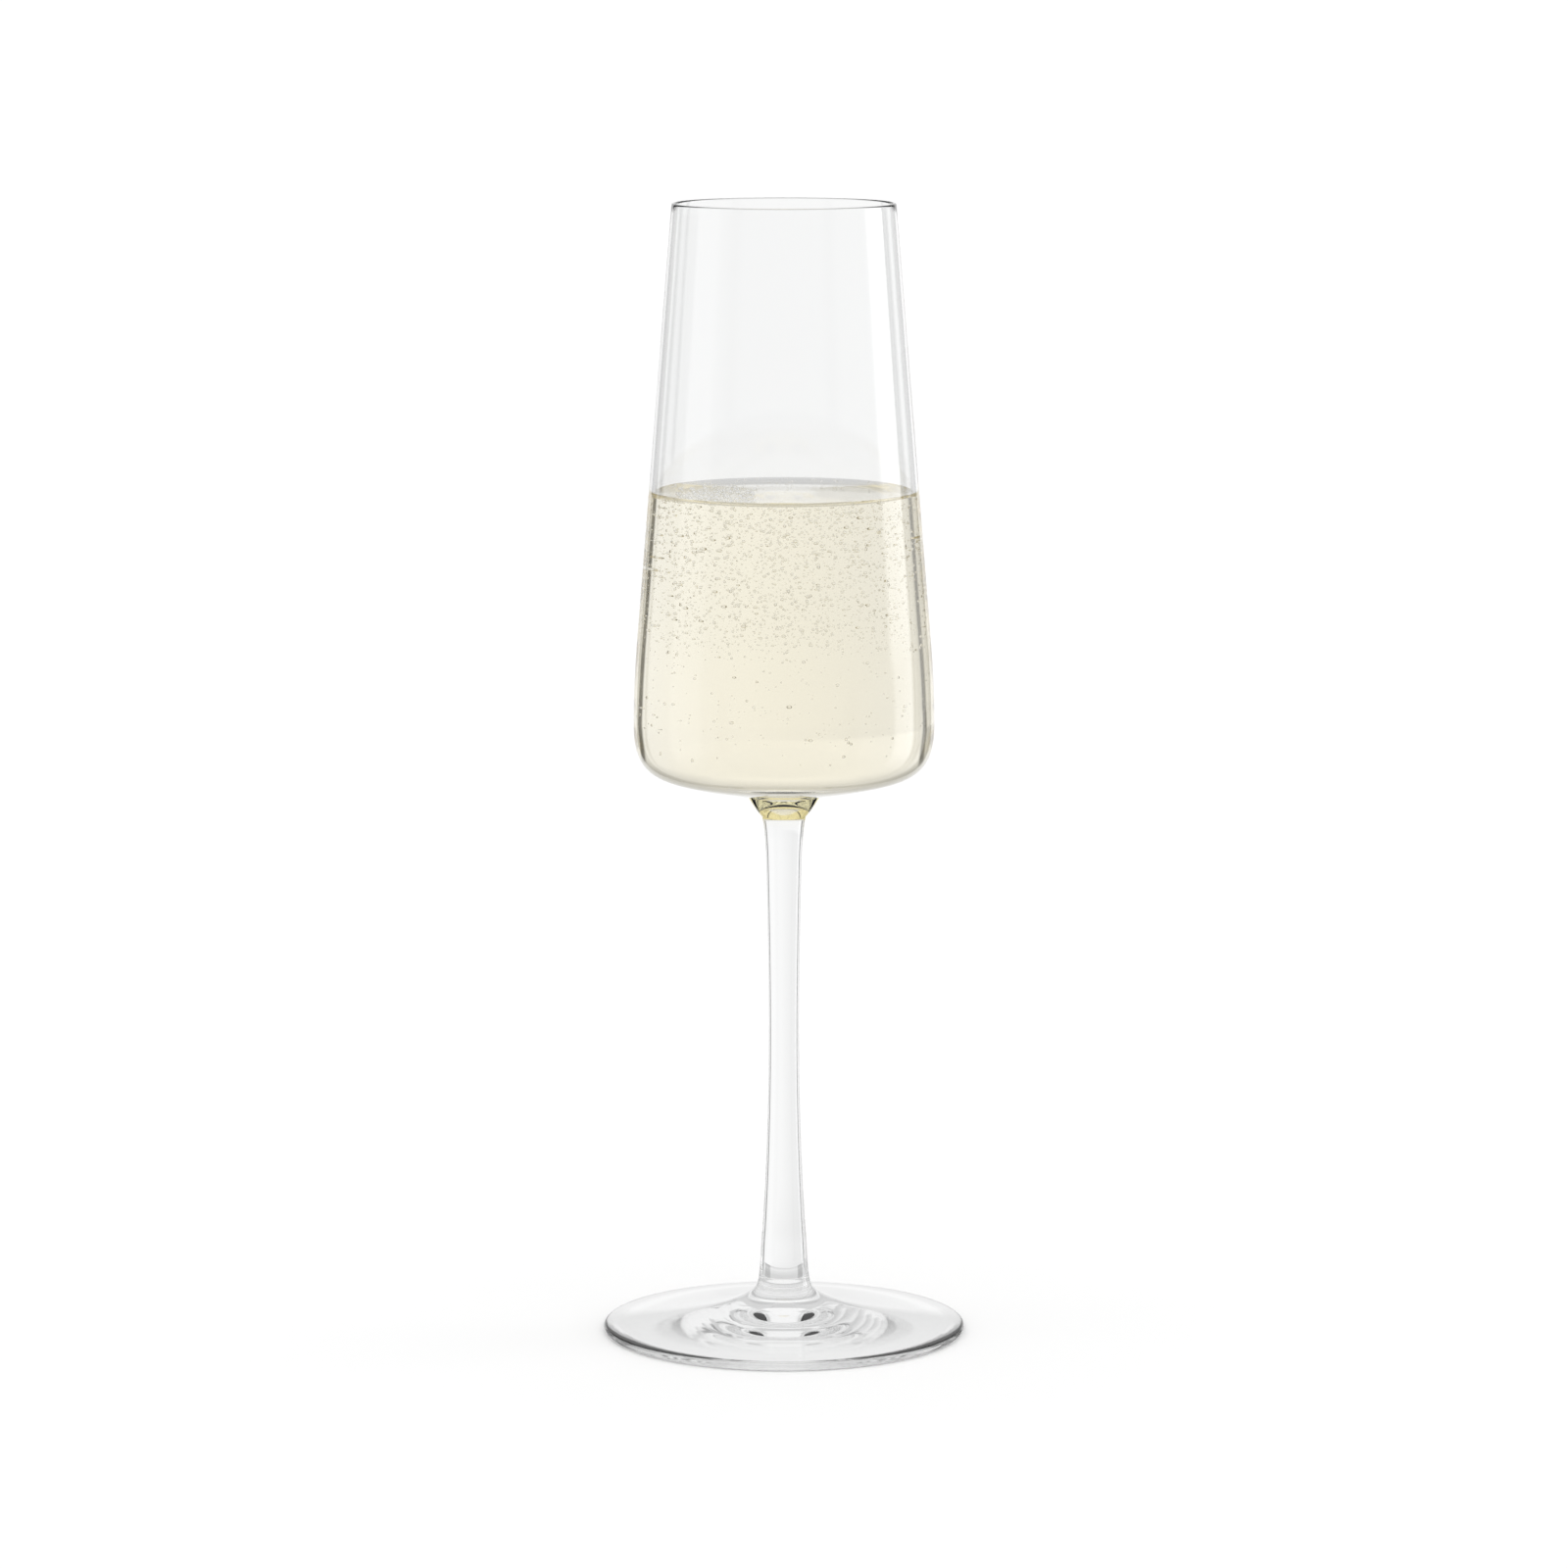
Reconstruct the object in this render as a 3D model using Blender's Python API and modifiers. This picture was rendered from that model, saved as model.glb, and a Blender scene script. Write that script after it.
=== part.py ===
"""A champagne flute: a tapered bowl with a tight shoulder, a drawn stem, a disc foot, and the drink.

Units are metres, +Z is up, and the origin is the middle of the circle that the foot rests on.
Every piece is turned about the Z axis.  Pieces that are fused or touch are kept CLEARANCE apart.
"""

import math

import bpy
from mathutils import Vector

OBJECT_NAME = "champagne_flute"

# Driving heights, from the surface that the glass stands on.
HEIGHT = 0.2318
DRINK_LEVEL_Z = 0.1738
SHOULDER_TOP_Z = 0.1468
WIDEST_Z = 0.1258
BOWL_BASE_Z = 0.1110
FOOT_JOINT_Z = 0.0086

# Driving radii, outside the glass.
RIM_RADIUS = 0.0227
WIDEST_RADIUS = 0.03064
BASE_EDGE_RADIUS = 0.0234
STEM_TOP_RADIUS = 0.0074
STEM_NECK_RADIUS = 0.0037
STEM_WAIST_RADIUS = 0.0031
FOOT_JOINT_RADIUS = 0.0061
FOOT_SKIRT_RADIUS = 0.0135
FOOT_RADIUS = 0.0372
WALL_TAPER = 0.0812

# Glass thickness.
LIP_THICKNESS = 0.0008
WALL_THICKNESS_AT_DRINK = 0.00115
SHOULDER_THICKNESS = 0.0013
FLOOR_THICKNESS = 0.0054
FOOT_EDGE_THICKNESS = 0.0016
FOOT_HOLLOW_DEPTH = 0.0024

CLEARANCE = 0.0003
ROUND_STEPS = 64
STEM_STEPS = 40


def curve(start, start_handle, end_handle, end, steps):
    """Points along a cubic Bezier from start, leaving start itself out."""
    a, b, c, d = (Vector(point) for point in (start, start_handle, end_handle, end))
    points = []
    for step in range(1, steps + 1):
        t = step / steps
        u = 1 - t
        points.append(tuple(u**3 * a + 3 * u * u * t * b + 3 * u * t * t * c + t**3 * d))
    return points


def arc(centre, radius, from_degrees, to_degrees, steps):
    """Points on a circle in the (radius, height) plane, from one angle to the other."""
    points = []
    for step in range(steps + 1):
        angle = math.radians(from_degrees + (to_degrees - from_degrees) * step / steps)
        points.append((centre[0] + radius * math.cos(angle), centre[1] + radius * math.sin(angle)))
    return points


def clear_scene():
    for obj in list(bpy.data.objects):
        bpy.data.objects.remove(obj, do_unlink=True)


def make_collection(name):
    collection = bpy.data.collections.new(name)
    bpy.context.scene.collection.children.link(collection)
    return collection


def make_material(name, colour, roughness, transmission, refractive_index):
    material = bpy.data.materials.new(name)
    material.use_nodes = True
    shader = material.node_tree.nodes["Principled BSDF"]
    shader.inputs["Base Color"].default_value = (*colour, 1)
    shader.inputs["Roughness"].default_value = roughness
    shader.inputs["Metallic"].default_value = 0
    shader.inputs["Transmission Weight"].default_value = transmission
    shader.inputs["IOR"].default_value = refractive_index
    return material


def clear_glass(name):
    return make_material(name, (0.93, 0.95, 0.95), 0.0, 1.0, 1.5)


def drink_liquid(name):
    return make_material(name, (0.93, 0.87, 0.62), 0.0, 1.0, 1.34)


def turn(name, profile, steps, material, collection):
    """Turn an open profile, whose two ends are on the axis, into a closed body about Z.

    Seen with the axis on its left, the profile's (radius, height) points run clockwise.
    """
    mesh = bpy.data.meshes.new(name)
    points = [(radius, 0, height) for radius, height in profile]
    edges = [(index, index + 1) for index in range(len(points) - 1)]
    mesh.from_pydata(points, edges, [])
    mesh.materials.append(material)
    obj = bpy.data.objects.new(name, mesh)
    collection.objects.link(obj)

    screw = obj.modifiers.new("Turn", "SCREW")
    screw.axis = "Z"
    screw.angle = 2 * math.pi
    screw.steps = steps
    screw.render_steps = steps
    screw.use_merge_vertices = True
    screw.merge_threshold = 0.00002
    screw.use_smooth_shade = True
    return obj


def wall_radius(height):
    """Outside radius of the straight, tapered wall, between the shoulder and the rim."""
    return RIM_RADIUS + WALL_TAPER * (HEIGHT - height)


def bowl_outside():
    """From the lip down the wall, round the shoulder and in along the base to the stem."""
    lip = LIP_THICKNESS / 2
    points = arc((RIM_RADIUS - lip, HEIGHT - lip), lip, 180, 0, 6)
    for height in (0.5 * (HEIGHT + DRINK_LEVEL_Z), DRINK_LEVEL_Z, SHOULDER_TOP_Z):
        points.append((wall_radius(height), height))

    wall_end = points[-1]
    handle_z = SHOULDER_TOP_Z - 0.008
    widest = (WIDEST_RADIUS, WIDEST_Z)
    base_edge = (BASE_EDGE_RADIUS, BOWL_BASE_Z + 0.0037)
    stem_edge = (STEM_TOP_RADIUS, BOWL_BASE_Z + CLEARANCE / 2)
    points += curve(wall_end, (wall_radius(handle_z), handle_z), (WIDEST_RADIUS, WIDEST_Z + 0.007), widest, 4)
    points += curve(widest, (WIDEST_RADIUS, WIDEST_Z - 0.0066), (0.0286, 0.1160), base_edge, 7)
    points += curve(base_edge, (0.0185, 0.1133), (0.0115, 0.1124), stem_edge, 4)
    return points


def bowl_inside(inset=0.0):
    """From the axis out along the floor, round inside the shoulder and up to the drink's level.

    A positive inset draws the outline in from the glass, for what is inside it.
    """
    floor_z = BOWL_BASE_Z + FLOOR_THICKNESS + inset
    middle = (0, floor_z)
    floor_edge = (0.0240, floor_z + 0.0005)
    widest = (WIDEST_RADIUS - SHOULDER_THICKNESS - inset, WIDEST_Z + 0.001)
    wall_start = (wall_radius(SHOULDER_TOP_Z) - SHOULDER_THICKNESS - inset, SHOULDER_TOP_Z)
    drink_edge = (wall_radius(DRINK_LEVEL_Z) - WALL_THICKNESS_AT_DRINK - inset, DRINK_LEVEL_Z)
    corner = (0.0286 - inset, floor_z + 0.0010)
    points = [middle]
    points += curve(middle, (0.008, floor_z), (0.015, floor_z + 0.0001), floor_edge, 5)
    points += curve(floor_edge, corner, (widest[0], WIDEST_Z - 0.006), widest, 7)
    points += curve(widest, (widest[0], WIDEST_Z + 0.007), (wall_start[0] + 0.0006, 0.139), wall_start, 4)
    points.append(drink_edge)
    return points


def build_bowl(collection):
    base_middle = (0, BOWL_BASE_Z + CLEARANCE / 2)
    profile = bowl_inside() + bowl_outside() + [base_middle]
    return turn("bowl", profile, ROUND_STEPS, clear_glass("bowl_glass"), collection)


def build_stem(collection):
    top_z = BOWL_BASE_Z - CLEARANCE / 2
    bottom_z = FOOT_JOINT_Z + CLEARANCE / 2
    top = (STEM_TOP_RADIUS - 0.0001, top_z)
    collar_end = (0.0046, 0.1071)
    neck = (STEM_NECK_RADIUS, 0.0995)
    waist = (STEM_WAIST_RADIUS, 0.0628)
    ankle = (0.0046, 0.0197)
    bottom = (FOOT_JOINT_RADIUS - 0.0001, bottom_z)
    profile = [(0, top_z), top]
    profile += curve(top, (0.0066, 0.1097), (0.0054, 0.1080), collar_end, 4)
    profile += curve(collar_end, (0.0043, 0.1067), (0.0039, 0.1040), neck, 5)
    profile += curve(neck, (0.0035, 0.0930), (STEM_WAIST_RADIUS, 0.0753), waist, 5)
    profile += curve(waist, (STEM_WAIST_RADIUS, 0.0478), (0.0037, 0.0308), ankle, 5)
    profile += curve(ankle, (0.0049, 0.0158), (0.0049, 0.0096), bottom, 5)
    profile.append((0, bottom_z))
    return turn("stem", profile, STEM_STEPS, clear_glass("stem_glass"), collection)


def build_foot(collection):
    top_z = FOOT_JOINT_Z - CLEARANCE / 2
    top = (FOOT_JOINT_RADIUS, top_z)
    skirt = (FOOT_SKIRT_RADIUS, 0.0052)
    rest_edge = (FOOT_RADIUS - 0.0032, 0)
    hollow_middle = (0, FOOT_HOLLOW_DEPTH)
    edge = FOOT_EDGE_THICKNESS / 2
    rim = arc((FOOT_RADIUS - edge, edge), edge, 82, -90, 6)
    profile = [(0, top_z), top]
    profile += curve(top, (0.0072, 0.0072), (0.0098, 0.0060), skirt, 5)
    profile += curve(skirt, (0.0210, 0.0035), (0.0300, 0.0022), rim[0], 5)
    profile += rim[1:] + [rest_edge]
    profile += curve(rest_edge, (0.0270, 0.0008), (0.0150, FOOT_HOLLOW_DEPTH), hollow_middle, 6)
    return turn("foot", profile, ROUND_STEPS, clear_glass("foot_glass"), collection)


def build_champagne(collection):
    outline = bowl_inside(CLEARANCE)
    surface_middle = (0, DRINK_LEVEL_Z)
    profile = [surface_middle] + list(reversed(outline))
    return turn("champagne", profile, ROUND_STEPS, drink_liquid("champagne"), collection)


def main():
    clear_scene()
    parts = make_collection(OBJECT_NAME)
    build_bowl(parts)
    build_stem(parts)
    build_foot(parts)
    build_champagne(parts)


main()
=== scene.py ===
"""The looks of a champagne flute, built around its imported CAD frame.

Units are metres, +Z is up, and the glass stands on z = 0 about the Z axis.  Clear glass only looks
right when each surface bends light by the ratio of the two substances that it parts, so:

- the glass is closed bodies whose faces are parted by material: glass in air, glass under the wine,
  and the joint faces where two pieces are fused, which bend nothing;
- the wine's colour is a closed body that absorbs and bends nothing, with the wine's top surface,
  which does bend light, lying on it;
- the bubbles are air, so their faces point inwards, and froth has an outer skin as well.
"""

import math
import random

import bmesh
import bpy
import numpy as np
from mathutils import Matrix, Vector


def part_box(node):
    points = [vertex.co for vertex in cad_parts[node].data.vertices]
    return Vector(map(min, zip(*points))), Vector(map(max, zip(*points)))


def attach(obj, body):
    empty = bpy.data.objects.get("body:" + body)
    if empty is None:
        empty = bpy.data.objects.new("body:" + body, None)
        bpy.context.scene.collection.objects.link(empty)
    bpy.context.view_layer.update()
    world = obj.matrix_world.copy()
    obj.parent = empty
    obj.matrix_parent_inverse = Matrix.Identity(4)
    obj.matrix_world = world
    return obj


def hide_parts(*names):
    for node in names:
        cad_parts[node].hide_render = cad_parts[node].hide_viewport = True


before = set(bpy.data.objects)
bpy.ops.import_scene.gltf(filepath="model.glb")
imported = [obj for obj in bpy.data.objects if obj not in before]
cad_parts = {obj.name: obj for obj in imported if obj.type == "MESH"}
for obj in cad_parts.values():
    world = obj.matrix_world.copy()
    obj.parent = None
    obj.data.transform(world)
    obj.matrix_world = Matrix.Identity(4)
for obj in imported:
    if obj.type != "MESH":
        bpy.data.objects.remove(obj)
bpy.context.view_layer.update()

BODY = "root"

# Sizes that the CAD frame gives.
RIM_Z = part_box("bowl")[1].z
BASE_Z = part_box("bowl")[0].z
WIDEST_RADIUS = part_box("bowl")[1].x
FOOT_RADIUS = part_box("foot")[1].x
JOINT_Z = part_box("stem")[0].z

# Shape of the glass, as in the CAD part.
RIM_RADIUS = 0.0227
WALL_TAPER = 0.0812
SHOULDER_TOP_Z = 0.1468
WIDEST_Z = 0.1258
BASE_EDGE_RADIUS = 0.0234
BASE_EDGE_RISE = 0.00355
STEM_TOP_RADIUS = 0.0074
STEM_NECK_RADIUS = 0.0037
STEM_WAIST_RADIUS = 0.0031
FOOT_JOINT_RADIUS = 0.0061
FOOT_SKIRT_RADIUS = 0.0135
LIP_THICKNESS = 0.0008
SHOULDER_THICKNESS = 0.0013
FLOOR_THICKNESS = 0.0054
HALF_CLEARANCE = 0.00015
FOOT_EDGE_THICKNESS = 0.0016
FOOT_HOLLOW_DEPTH = 0.0024

# The wine: its level away from the wall, and how high it climbs the wall.
WINE_Z = 0.1724
MENISCUS_HEIGHT = 0.0014
MENISCUS_WIDTH = 0.0019
CONTACT_Z = WINE_Z + MENISCUS_HEIGHT
SKIN = 0.00002

# Ratios of refractive index across each kind of surface.
GLASS_TO_AIR = 1.5
WINE_TO_AIR = 1.34
GLASS_TO_WINE = GLASS_TO_AIR / WINE_TO_AIR
NO_BEND = 1.0

# Colours that clear things give to light, save the collar's painted light, and the depth of their
# surface waves.
CLEAR = (1, 1, 1)
BLOWN_TINT = (0.980, 0.983, 0.982)
THICK_TINT = (0.957, 0.960, 0.959)
# Painted light: the yellow on the clear collar joint stands in for the wine seen through the stem top.
COLLAR_PAINTED_WINE_LIGHT = (0.91, 0.84, 0.50)
WINE_TINT = (0.80, 0.62, 0.0)
WINE_DENSITY = 5.2
BLOWN_WAVES = 0.00001
THICK_WAVES = 0.000003
WINE_WAVES = 0.000006
BUBBLE_WAVES = 0.000004
NO_WAVES = 0
WAVE_STRETCH = (1, 1, 0.35)
WAVE_SCALE = 95
WAVE_DETAIL = 1.5

# Gas in the wine: (how many, smallest radius, largest radius), and where the bubbles are.
BUBBLE_SEED = 11
BIG_BUBBLES = (1500, 0.00016, 0.00036)
FINE_BUBBLES = (3600, 0.00009, 0.00017)
CROWDED_SHARE = 0.85
CROWDED_DEPTH = 0.030
CROWDING = 1.2
MOSTLY_SMALL = 1.8
CLINGING_SHARE = 0.15
BELOW_SURFACE = 0.0006
ABOVE_FLOOR = 0.005
OFF_WALL = 0.0001

# Froth on the wine: a drift at the left, and a ring along the wall.
FROTH_SEED = 5
DRIFT_COUNT = 170
DRIFT_RADII = (0.00025, 0.00055)
DRIFT_X = (-0.022, -0.006)
DRIFT_Y = (-0.014, 0.020)
DRIFT_OFF_WALL = 0.001
RING_COUNT = 90
RING_RADII = (0.00016, 0.0003)
RING_WIDTH = 0.0012
HOLLOW_SHARE = 0.65

# How finely things are divided.
ROUND_STEPS = 192
CURVE_STEPS = 36
LIP_STEPS = 8
WALL_STEPS = 24
SURFACE_STEPS = 36
SURFACE_CROWDING = 2.2
ON_AXIS = 1e-7
SHARP_ANGLE = math.radians(32)

# The camera, and the floor that the glass stands on.
CAMERA_PLACE = (0, -1.242, 0.2964)
CAMERA_DIP = 8.37
CAMERA_LENS = 141.3
SENSOR_WIDTH = 36
FLOOR_REACH = 30
FLOOR_SEGMENTS = 96
FLOOR_GAP = 0.0001
FLOOR_COLOUR = (0.97, 0.97, 0.97, 1)

# With as many glossy bounces as the others, the dark line in the collar washes out.
GLOSSY_BOUNCES = 16
OTHER_BOUNCES = 160
TRANSPARENT_BOUNCES = 16


def curve(start, start_handle, end_handle, end):
    """Points along a cubic Bezier in the (radius, height) plane, from start to end."""
    a, b, c, d = (Vector(point) for point in (start, start_handle, end_handle, end))
    points = []
    for step in range(CURVE_STEPS + 1):
        t = step / CURVE_STEPS
        u = 1 - t
        points.append(tuple(u**3 * a + 3 * u * u * t * b + 3 * u * t * t * c + t**3 * d))
    return points


def line(start, end, steps=CURVE_STEPS):
    a, b = Vector(start), Vector(end)
    return [tuple(a.lerp(b, step / steps)) for step in range(steps + 1)]


def arc(centre, radius, from_degrees, to_degrees, steps=CURVE_STEPS):
    points = []
    for step in range(steps + 1):
        angle = math.radians(from_degrees + (to_degrees - from_degrees) * step / steps)
        points.append((centre[0] + radius * math.cos(angle), centre[1] + radius * math.sin(angle)))
    return points


def turned(name, runs, materials):
    """A smooth body turned about Z from runs of (outline points, index of their material).

    Each run starts where the last one ends.  A point on the axis becomes a single vertex.
    """
    outline, kinds = [], []
    for points, kind in runs:
        fresh = points if not outline else points[1:]
        kinds += [kind] * (len(points) - 1)
        outline += fresh
    vertices, rings = [], []
    for radius, height in outline:
        if radius < ON_AXIS:
            rings.append([len(vertices)] * ROUND_STEPS)
            vertices.append((0, 0, height))
            continue
        rings.append(list(range(len(vertices), len(vertices) + ROUND_STEPS)))
        for step in range(ROUND_STEPS):
            angle = 2 * math.pi * step / ROUND_STEPS
            vertices.append((radius * math.cos(angle), radius * math.sin(angle), height))
    faces, face_kinds = [], []
    for (upper, lower), kind in zip(zip(rings, rings[1:]), kinds):
        for step in range(ROUND_STEPS):
            after = (step + 1) % ROUND_STEPS
            corners = (upper[step], lower[step], lower[after], upper[after])
            faces.append(tuple(dict.fromkeys(corners)))
            face_kinds.append(kind)
    mesh = bpy.data.meshes.new(name)
    mesh.from_pydata(vertices, [], faces)
    for material in materials:
        mesh.materials.append(material)
    mesh.polygons.foreach_set("material_index", face_kinds)
    mesh.shade_smooth()
    mesh.set_sharp_from_angle(angle=SHARP_ANGLE)
    mesh.validate()
    obj = bpy.data.objects.new(name, mesh)
    bpy.context.scene.collection.objects.link(obj)
    return obj


# Materials


def new_material(name):
    material = bpy.data.materials.new(name)
    material.use_nodes = True
    nodes = material.node_tree.nodes
    return material, nodes, material.node_tree.links, nodes["Principled BSDF"]


def clear_material(name, colour, ratio, waviness):
    """Clear stuff whose surface bends light by a ratio, and is faintly wavy where waviness says so."""
    material, nodes, links, shader = new_material(name)
    shader.inputs["Base Color"].default_value = (*colour, 1)
    shader.inputs["Roughness"].default_value = 0.0
    shader.inputs["IOR"].default_value = ratio
    shader.inputs["Transmission Weight"].default_value = 1.0
    if waviness:
        place = nodes.new("ShaderNodeTexCoord")
        stretch = nodes.new("ShaderNodeMapping")
        stretch.inputs["Scale"].default_value = WAVE_STRETCH
        waves = nodes.new("ShaderNodeTexNoise")
        waves.inputs["Scale"].default_value = WAVE_SCALE
        waves.inputs["Detail"].default_value = WAVE_DETAIL
        bump = nodes.new("ShaderNodeBump")
        bump.inputs["Strength"].default_value = 1.0
        bump.inputs["Distance"].default_value = waviness
        links.new(place.outputs["Object"], stretch.inputs["Vector"])
        links.new(stretch.outputs["Vector"], waves.inputs["Vector"])
        links.new(waves.outputs["Fac"], bump.inputs["Height"])
        links.new(bump.outputs["Normal"], shader.inputs["Normal"])
    return material


glass = clear_material("glass_in_air", BLOWN_TINT, GLASS_TO_AIR, BLOWN_WAVES)
thick_glass = clear_material("thick_glass_in_air", THICK_TINT, GLASS_TO_AIR, THICK_WAVES)
wet_glass = clear_material("glass_under_wine", CLEAR, GLASS_TO_WINE, BLOWN_WAVES)
fused_glass = clear_material("fused_glass_joint", CLEAR, NO_BEND, NO_WAVES)
# The collar joint's yellow is painted light for the wine seen through the stem top; the glass is
# clear.
collar_painted_wine_light = clear_material("fused_collar_joint_painted_wine_light", COLLAR_PAINTED_WINE_LIGHT, NO_BEND, NO_WAVES)
wine_top = clear_material("wine_surface", CLEAR, WINE_TO_AIR, WINE_WAVES)
bubble_skin = clear_material("bubble", CLEAR, WINE_TO_AIR, BUBBLE_WAVES)


def wine_material():
    material, nodes, links, shader = new_material("wine")
    shader.inputs["Base Color"].default_value = (*CLEAR, 1)
    shader.inputs["Roughness"].default_value = 0.0
    shader.inputs["IOR"].default_value = NO_BEND
    shader.inputs["Transmission Weight"].default_value = 1.0
    depth = nodes.new("ShaderNodeVolumeAbsorption")
    depth.inputs["Color"].default_value = (*WINE_TINT, 1)
    depth.inputs["Density"].default_value = WINE_DENSITY
    output = nodes["Material Output"]
    links.new(depth.outputs["Volume"], output.inputs["Volume"])
    return material


wine = wine_material()


# Glass


def wall_radius(height):
    return RIM_RADIUS + WALL_TAPER * (RIM_Z - height)


def wall_outside():
    """From the lip's crown down the outer wall, round the shoulder, in to the stem."""
    wall_end = (wall_radius(SHOULDER_TOP_Z), SHOULDER_TOP_Z)
    handle_z = SHOULDER_TOP_Z - 0.008
    widest = (WIDEST_RADIUS, WIDEST_Z)
    base_edge = (BASE_EDGE_RADIUS, BASE_Z + BASE_EDGE_RISE)
    stem_edge = (STEM_TOP_RADIUS, BASE_Z)
    lip = LIP_THICKNESS / 2
    points = arc((RIM_RADIUS - lip, RIM_Z - lip), lip, 90, 0, LIP_STEPS)
    points += line((RIM_RADIUS, RIM_Z - lip), wall_end, WALL_STEPS)[1:]
    points += curve(
        wall_end, (wall_radius(handle_z), handle_z), (WIDEST_RADIUS, WIDEST_Z + 0.007), widest
    )[1:]
    points += curve(widest, (WIDEST_RADIUS, WIDEST_Z - 0.0066), (0.0286, 0.1160), base_edge)[1:]
    points += curve(base_edge, (0.0185, 0.1133), (0.0115, 0.1124), stem_edge)[1:]
    return points


def wet_inside(inset=0.0):
    """From the axis along the bowl's floor and up the inner wall to the wine's edge."""
    floor_z = BASE_Z - HALF_CLEARANCE + FLOOR_THICKNESS + inset
    middle = (0, floor_z)
    floor_edge = (0.0240, floor_z + 0.0005)
    widest = (WIDEST_RADIUS - SHOULDER_THICKNESS - inset, WIDEST_Z + 0.001)
    wall_start = (wall_radius(SHOULDER_TOP_Z) - SHOULDER_THICKNESS - inset, SHOULDER_TOP_Z)
    corner = (0.0286 - inset, floor_z + 0.0010)
    points = curve(middle, (0.008, floor_z), (0.015, floor_z + 0.0001), floor_edge)
    points += curve(floor_edge, corner, (widest[0], WIDEST_Z - 0.006), widest)[1:]
    points += curve(
        widest, (widest[0], WIDEST_Z + 0.007), (wall_start[0] + 0.0006, 0.139), wall_start
    )[1:]
    points += line(wall_start, (inner_wall_radius(CONTACT_Z) - inset, CONTACT_Z - inset))[1:]
    return points


def inner_wall_radius(height):
    """Inside radius of the straight wall, which thins towards the rim."""
    share = (height - SHOULDER_TOP_Z) / (RIM_Z - SHOULDER_TOP_Z)
    thickness = SHOULDER_THICKNESS + share * (LIP_THICKNESS - SHOULDER_THICKNESS)
    return wall_radius(height) - thickness


def build_bowl():
    lip = LIP_THICKNESS / 2
    dry_start = (inner_wall_radius(CONTACT_Z), CONTACT_Z)
    dry_end = (RIM_RADIUS - LIP_THICKNESS, RIM_Z - lip)
    dry = line(dry_start, dry_end)
    dry += arc((RIM_RADIUS - lip, RIM_Z - lip), lip, 180, 90, LIP_STEPS)[1:]
    joint = [(STEM_TOP_RADIUS, BASE_Z), (0, BASE_Z)]
    # The bowl's joint with the stem carries the collar's painted wine-yellow light.
    runs = [(wet_inside(), 1), (dry, 0), (wall_outside(), 0), (joint, 2)]
    return turned("bowl_glass", runs, [glass, wet_glass, collar_painted_wine_light])


def build_stem():
    top = (STEM_TOP_RADIUS, BASE_Z - SKIN)
    collar_end = (0.0046, 0.1071)
    neck = (STEM_NECK_RADIUS, 0.0995)
    waist = (STEM_WAIST_RADIUS, 0.0628)
    ankle = (0.0046, 0.0197)
    bottom = (FOOT_JOINT_RADIUS, JOINT_Z + SKIN)
    side = curve(top, (0.0066, 0.1097), (0.0054, 0.1080), collar_end)
    side += curve(collar_end, (0.0043, 0.1067), (0.0039, 0.1040), neck)[1:]
    side += curve(neck, (0.0035, 0.0930), (STEM_WAIST_RADIUS, 0.0753), waist)[1:]
    side += curve(waist, (STEM_WAIST_RADIUS, 0.0478), (0.0037, 0.0308), ankle)[1:]
    side += curve(ankle, (0.0049, 0.0158), (0.0049, 0.0096), bottom)[1:]
    # The stem's top joint carries the collar's painted wine-yellow light.
    runs = [([(0, top[1]), top], 1), (side, 0), ([bottom, (0, bottom[1])], 2)]
    return turned("stem_glass", runs, [thick_glass, collar_painted_wine_light, fused_glass])


def build_foot():
    top = (FOOT_JOINT_RADIUS, JOINT_Z)
    skirt = (FOOT_SKIRT_RADIUS, 0.0052)
    rest_edge = (FOOT_RADIUS - 0.0032, 0)
    hollow_middle = (0, FOOT_HOLLOW_DEPTH)
    edge = FOOT_EDGE_THICKNESS / 2
    rim = arc((FOOT_RADIUS - edge, edge), edge, 82, -90)
    side = curve(top, (0.0072, 0.0072), (0.0098, 0.0060), skirt)
    side += curve(skirt, (0.0210, 0.0035), (0.0300, 0.0022), rim[0])[1:]
    side += rim[1:] + [rest_edge]
    side += curve(rest_edge, (0.0270, 0.0008), (0.0150, FOOT_HOLLOW_DEPTH), hollow_middle)[1:]
    return turned("foot_glass", [([(0, top[1]), top], 1), (side, 0)], [thick_glass, fused_glass])


# Wine


def wine_height(radius, inset=0.0):
    """Height of the wine's surface, which climbs near the wall."""
    gap = inner_wall_radius(CONTACT_Z) - inset - radius
    return WINE_Z - inset + MENISCUS_HEIGHT * math.exp(-max(gap, 0) / MENISCUS_WIDTH)


def wine_top_outline(inset=0.0):
    """From the wall in to the axis, closer together where the surface curves."""
    edge = inner_wall_radius(CONTACT_Z) - inset
    points = []
    for step in range(SURFACE_STEPS + 1):
        radius = edge * (1 - (step / SURFACE_STEPS) ** SURFACE_CROWDING)
        points.append((radius, wine_height(radius, inset)))
    return points


def build_wine():
    wall = list(reversed(wet_inside(SKIN)))
    top = list(reversed(wine_top_outline(SKIN)))
    top[-1] = wall[0]
    return turned("wine", [(top, 0), (wall, 0)], [wine])


def build_wine_surface():
    return turned("wine_surface", [(list(reversed(wine_top_outline())), 0)], [wine_top])


# Bubbles


def inside_radius(height):
    """Inside radius of the bowl at a height below the wine's surface."""
    outline = wet_inside()
    for (low_r, low_z), (high_r, high_z) in zip(outline, outline[1:]):
        if low_z <= height <= high_z:
            share = (height - low_z) / max(high_z - low_z, 1e-9)
            return low_r + share * (high_r - low_r)
    return inner_wall_radius(height)


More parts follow.
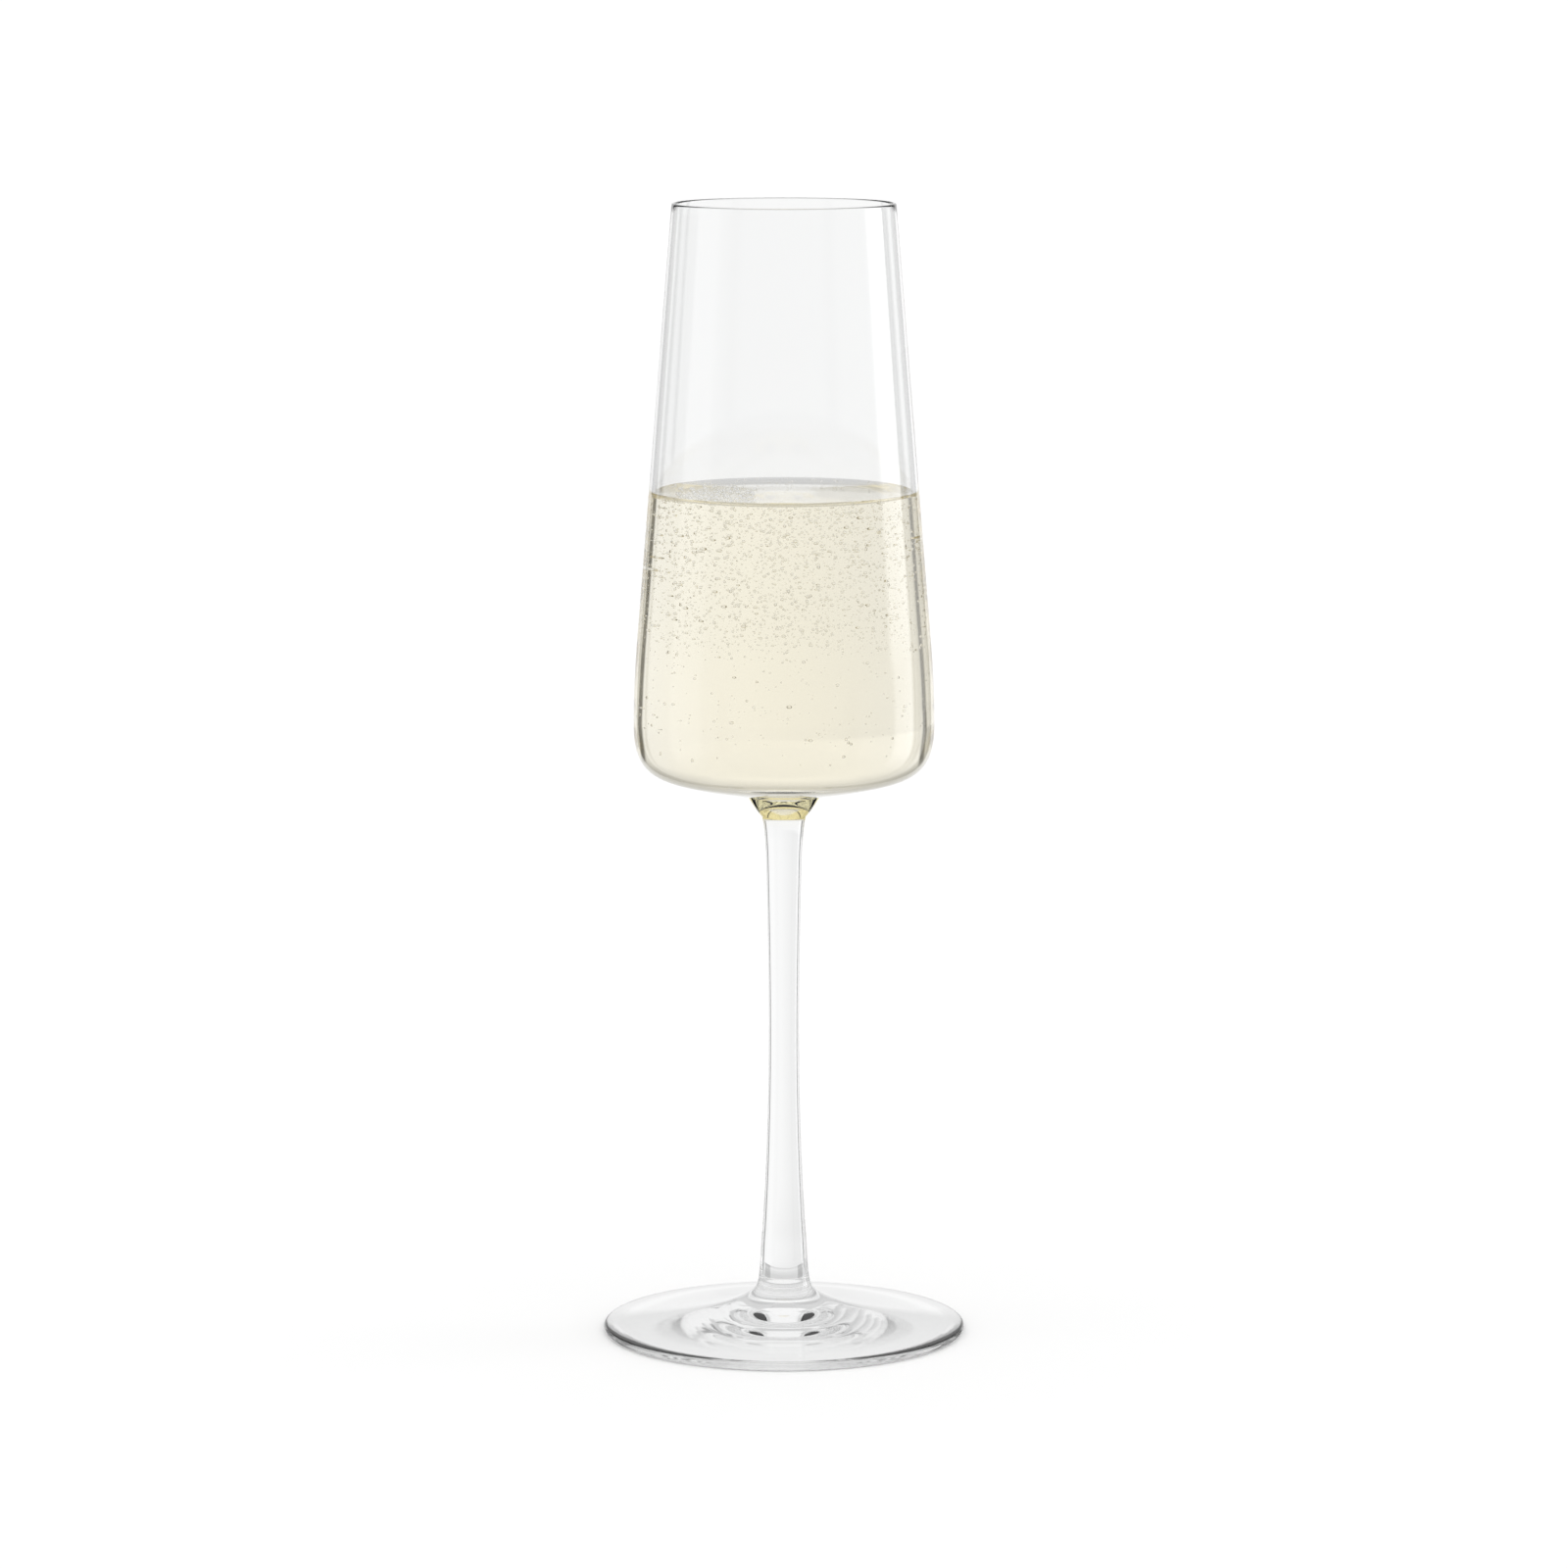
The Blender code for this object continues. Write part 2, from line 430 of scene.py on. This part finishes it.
def bubble_mesh(name, groups):
    """One mesh of many small spheres, in groups of (subdivisions, facing in, [(centre, radius)])."""
    vertices, faces, count = [], [], 0
    for subdivisions, facing_in, bubbles in groups:
        body = bmesh.new()
        bmesh.ops.create_icosphere(body, subdivisions=subdivisions, radius=1.0)
        sphere = np.array([vertex.co for vertex in body.verts])
        corners = np.array([[vertex.index for vertex in face.verts] for face in body.faces])
        body.free()
        if facing_in:
            corners = corners[:, ::-1]
        centres = np.array([centre for centre, _ in bubbles])
        radii = np.array([radius for _, radius in bubbles])
        vertices.append((centres[:, None] + sphere[None] * radii[:, None, None]).reshape(-1, 3))
        starts = count + np.arange(len(bubbles)) * len(sphere)
        faces.append((corners[None] + starts[:, None, None]).reshape(-1, 3))
        count += len(bubbles) * len(sphere)
    mesh = bpy.data.meshes.new(name)
    mesh.from_pydata(np.concatenate(vertices).tolist(), [], np.concatenate(faces).tolist())
    mesh.shade_smooth()
    mesh.materials.append(bubble_skin)
    obj = bpy.data.objects.new(name, mesh)
    bpy.context.scene.collection.objects.link(obj)
    return obj


def scatter_bubbles(draw, count, smallest, largest):
    """Gas in the wine: crowded under its surface, thinner below, some of it clinging to the wall."""
    bubbles = []
    lowest = BASE_Z + FLOOR_THICKNESS + ABOVE_FLOOR
    highest = WINE_Z - BELOW_SURFACE
    while len(bubbles) < count:
        depth = draw.random()
        crowded = draw.random() < CROWDED_SHARE
        height = highest - (CROWDED_DEPTH * depth**CROWDING if crowded else (WINE_Z - lowest) * depth)
        radius = smallest + (largest - smallest) * draw.random() ** MOSTLY_SMALL
        reach = inside_radius(height) - radius - OFF_WALL
        spread = math.sqrt(draw.random())
        if draw.random() < CLINGING_SHARE:
            spread = 1.0
        angle = draw.uniform(0, 2 * math.pi)
        centre = (reach * spread * math.cos(angle), reach * spread * math.sin(angle), height)
        bubbles.append((centre, radius))
    return bubbles


def build_bubbles():
    draw = random.Random(BUBBLE_SEED)
    big = scatter_bubbles(draw, *BIG_BUBBLES)
    fine = scatter_bubbles(draw, *FINE_BUBBLES)
    return bubble_mesh("bubbles", [(2, True, big), (1, True, fine)])


def build_froth():
    """Bubbles with a wall of wine that float half out of it, mostly in a drift at the left."""
    draw = random.Random(FROTH_SEED)
    beads = []
    edge = inner_wall_radius(CONTACT_Z)
    for _ in range(DRIFT_COUNT):
        radius = draw.uniform(*DRIFT_RADII)
        x = draw.uniform(*DRIFT_X)
        y = draw.uniform(*DRIFT_Y)
        if math.hypot(x, y) < edge - DRIFT_OFF_WALL:
            beads.append(((x, y, wine_height(math.hypot(x, y))), radius))
    for _ in range(RING_COUNT):
        radius = draw.uniform(*RING_RADII)
        angle = draw.uniform(0, 2 * math.pi)
        reach = edge - radius - RING_WIDTH * draw.random()
        beads.append(((reach * math.cos(angle), reach * math.sin(angle), wine_height(reach)), radius))
    hollows = [(centre, HOLLOW_SHARE * radius) for centre, radius in beads]
    return bubble_mesh("froth", [(2, False, beads), (2, True, hollows)])


# Stage


def build_floor():
    body = bmesh.new()
    bmesh.ops.create_circle(body, cap_ends=True, segments=FLOOR_SEGMENTS, radius=FLOOR_REACH)
    mesh = bpy.data.meshes.new("floor")
    body.to_mesh(mesh)
    body.free()
    material, nodes, links, shader = new_material("pale_floor")
    shader.inputs["Base Color"].default_value = FLOOR_COLOUR
    shader.inputs["Roughness"].default_value = 0.8
    shader.inputs["Specular IOR Level"].default_value = 0.0
    mesh.materials.append(material)
    floor = bpy.data.objects.new("floor", mesh)
    floor.location.z = -FLOOR_GAP
    floor.visible_transmission = False
    floor.visible_glossy = False
    bpy.context.scene.collection.objects.link(floor)


def ramp(nodes, stops):
    node = nodes.new("ShaderNodeValToRGB")
    elements = node.color_ramp.elements
    elements[0].position, elements[0].color = stops[0][0], (*[stops[0][1]] * 3, 1)
    elements[1].position, elements[1].color = stops[-1][0], (*[stops[-1][1]] * 3, 1)
    for position, value in stops[1:-1]:
        elements.new(position).color = (value, value, value, 1)
    return node


def math_node(nodes, links, operation, first, second):
    node = nodes.new("ShaderNodeMath")
    node.operation = operation
    for socket, value in zip(node.inputs, (first, second)):
        if isinstance(value, (int, float)):
            socket.default_value = value
        else:
            links.new(value, socket)
    return node.outputs["Value"]


# Brightness by degrees clockwise from +Y, seen from above: the pale floor below the horizon, the
# backdrop level with it, and the dim room over that.  Two dark flags cross the first two, and two
# softboxes cross all three.
BELOW = (
    (-180, 0.95),
    (-142, 0.95),
    (-132, 0.70),
    (-122, 1.00),
    (-116, 1.00),
    (-110, 1.50),
    (-85, 1.50),
    (-80, 1.00),
    (-51, 1.00),
    (-50, 0.15),
    (-46.2, 0.15),
    (-44.5, 0.90),
    (-20, 0.90),
    (10, 1.00),
    (25, 1.06),
    (48.8, 1.06),
    (50, 0.25),
    (51.5, 0.15),
    (55.5, 0.15),
    (57.5, 1.00),
    (62.5, 1.00),
    (64, 2.60),
    (84, 2.60),
    (88, 1.00),
    (117, 1.00),
    (127, 0.70),
    (137, 0.95),
    (180, 0.95),
)
LEVEL = (
    (-180, 0.86),
    (-116, 0.86),
    (-110, 1.35),
    (-85, 1.35),
    (-80, 0.70),
    (-52, 0.75),
    (-50, 0.20),
    (-46.2, 0.20),
    (-44.5, 1.00),
    (48.5, 1.00),
    (50, 0.25),
    (51.5, 0.15),
    (55.5, 0.15),
    (57.5, 1.00),
    (61, 1.00),
    (62.5, 3.10),
    (86, 3.10),
    (91, 0.86),
    (180, 0.86),
)
ROOM = (
    (-180, 0.60),
    (-116, 0.65),
    (-110, 1.20),
    (-85, 1.20),
    (-80, 0.65),
    (64, 0.65),
    (67, 2.00),
    (91, 2.00),
    (96, 0.65),
    (180, 0.60),
)
# Dark cards, which only reflections show.
CARD = (
    (-180, 1.0),
    (-43, 1.0),
    (-40, 0.05),
    (-27, 0.05),
    (-24, 1.0),
    (24, 1.0),
    (27, 0.05),
    (40, 0.05),
    (43, 1.0),
    (57, 1.0),
    (58, 0.05),
    (60.5, 0.05),
    (61, 1.0),
    (180, 1.0),
)
CEILING = 1.30
# Painted shade: the floor seen steeply down through the glass is darkened, for the glass's shadow on
# it.
STEEP_FLOOR_PAINTED_SHADE = 0.60
FLOOR_BENEATH = 0.96
# The brightest that the surroundings look through glass.
SEEN_THROUGH_GLASS = 0.99
# Elevations, in degrees, between which one band of light gives way to the next.
BENEATH_TO_STEEP = (-60, -52)
STEEP_TO_BELOW = (-36, -15)
BELOW_TO_LEVEL = (-2.5, -1)
LEVEL_TO_ROOM = (9, 12)
ROOM_TO_CEILING = (35, 50)


def around_ramp(nodes, links, turn, stops):
    """A brightness by direction round Z."""
    node = ramp(nodes, [((angle + 180) / 360, value) for angle, value in stops])
    links.new(turn, node.inputs["Fac"])
    return node.outputs["Color"]


def height_share(nodes, links, lift, low, high):
    """0 below one elevation and 1 above another, in degrees."""
    ends = [0.5 + 0.5 * math.sin(math.radians(angle)) for angle in (low, high)]
    node = ramp(nodes, [(ends[0], 0.0), (ends[1], 1.0)])
    links.new(lift, node.inputs["Fac"])
    return node.outputs["Color"]


def mixed(nodes, links, share, first, second, blend_type="MIX"):
    node = nodes.new("ShaderNodeMix")
    node.data_type = "RGBA"
    node.blend_type = blend_type
    for socket, value in (("Factor", share), ("A", first), ("B", second)):
        if not isinstance(value, (int, float)):
            links.new(value, node.inputs[socket])
        elif socket == "Factor":
            node.inputs[socket].default_value = value
        else:
            node.inputs[socket].default_value = (value, value, value, 1)
    return node.outputs["Result"]


def build_world():
    world = bpy.data.worlds.new("studio")
    bpy.context.scene.world = world
    world.use_nodes = True
    nodes, links = world.node_tree.nodes, world.node_tree.links
    place = nodes.new("ShaderNodeTexCoord")
    split = nodes.new("ShaderNodeSeparateXYZ")
    links.new(place.outputs["Generated"], split.inputs["Vector"])
    x, y, z = (split.outputs[axis] for axis in "XYZ")
    turn = math_node(nodes, links, "ARCTAN2", x, y)
    turn = math_node(nodes, links, "MULTIPLY", turn, 1 / (2 * math.pi))
    turn = math_node(nodes, links, "ADD", turn, 0.5)
    lift = math_node(nodes, links, "MULTIPLY", z, 0.5)
    lift = math_node(nodes, links, "ADD", lift, 0.5)

    below = around_ramp(nodes, links, turn, BELOW)
    level = around_ramp(nodes, links, turn, LEVEL)
    room = around_ramp(nodes, links, turn, ROOM)
    light = FLOOR_BENEATH
    for (low, high), upper in (
        (BENEATH_TO_STEEP, STEEP_FLOOR_PAINTED_SHADE),
        (STEEP_TO_BELOW, below),
        (BELOW_TO_LEVEL, level),
        (LEVEL_TO_ROOM, room),
        (ROOM_TO_CEILING, CEILING),
    ):
        light = mixed(nodes, links, height_share(nodes, links, lift, low, high), light, upper)
    # Light that has passed through glass is capped, or the softboxes would burn the glass out.
    path = nodes.new("ShaderNodeLightPath")
    through = mixed(nodes, links, 1.0, light, SEEN_THROUGH_GLASS, "DARKEN")
    cards = around_ramp(nodes, links, turn, CARD)
    reflected = mixed(nodes, links, path.outputs["Is Glossy Ray"], light, cards, "MULTIPLY")
    light = mixed(nodes, links, path.outputs["Is Transmission Ray"], reflected, through)
    light = mixed(nodes, links, path.outputs["Is Camera Ray"], light, 1.0)
    links.new(light, nodes["Background"].inputs["Color"])


def build_camera():
    data = bpy.data.cameras.new("camera")
    data.lens = CAMERA_LENS
    data.sensor_width = SENSOR_WIDTH
    camera = bpy.data.objects.new("camera", data)
    camera.location = CAMERA_PLACE
    camera.rotation_euler = (math.radians(90 - CAMERA_DIP), 0, 0)
    bpy.context.scene.collection.objects.link(camera)
    bpy.context.scene.camera = camera


def set_scene():
    scene = bpy.context.scene
    scene.view_settings.view_transform = "Standard"
    scene.cycles.max_bounces = OTHER_BOUNCES
    scene.cycles.transmission_bounces = OTHER_BOUNCES
    scene.cycles.glossy_bounces = GLOSSY_BOUNCES
    scene.cycles.transparent_max_bounces = TRANSPARENT_BOUNCES


def main():
    set_scene()
    build_camera()
    build_world()
    build_floor()
    made = (
        (build_bowl(), "bowl_glass", ["bowl"]),
        (build_stem(), "stem_glass", ["stem"]),
        (build_foot(), "foot_glass", ["foot"]),
        (build_wine(), "sparkling_wine", ["champagne"]),
        (build_wine_surface(), "sparkling_wine", []),
        (build_bubbles(), "sparkling_wine", []),
        (build_froth(), "sparkling_wine", []),
    )
    for piece, slot, nodes in made:
        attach(piece, BODY)
        if nodes:
            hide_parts(*nodes)


main()
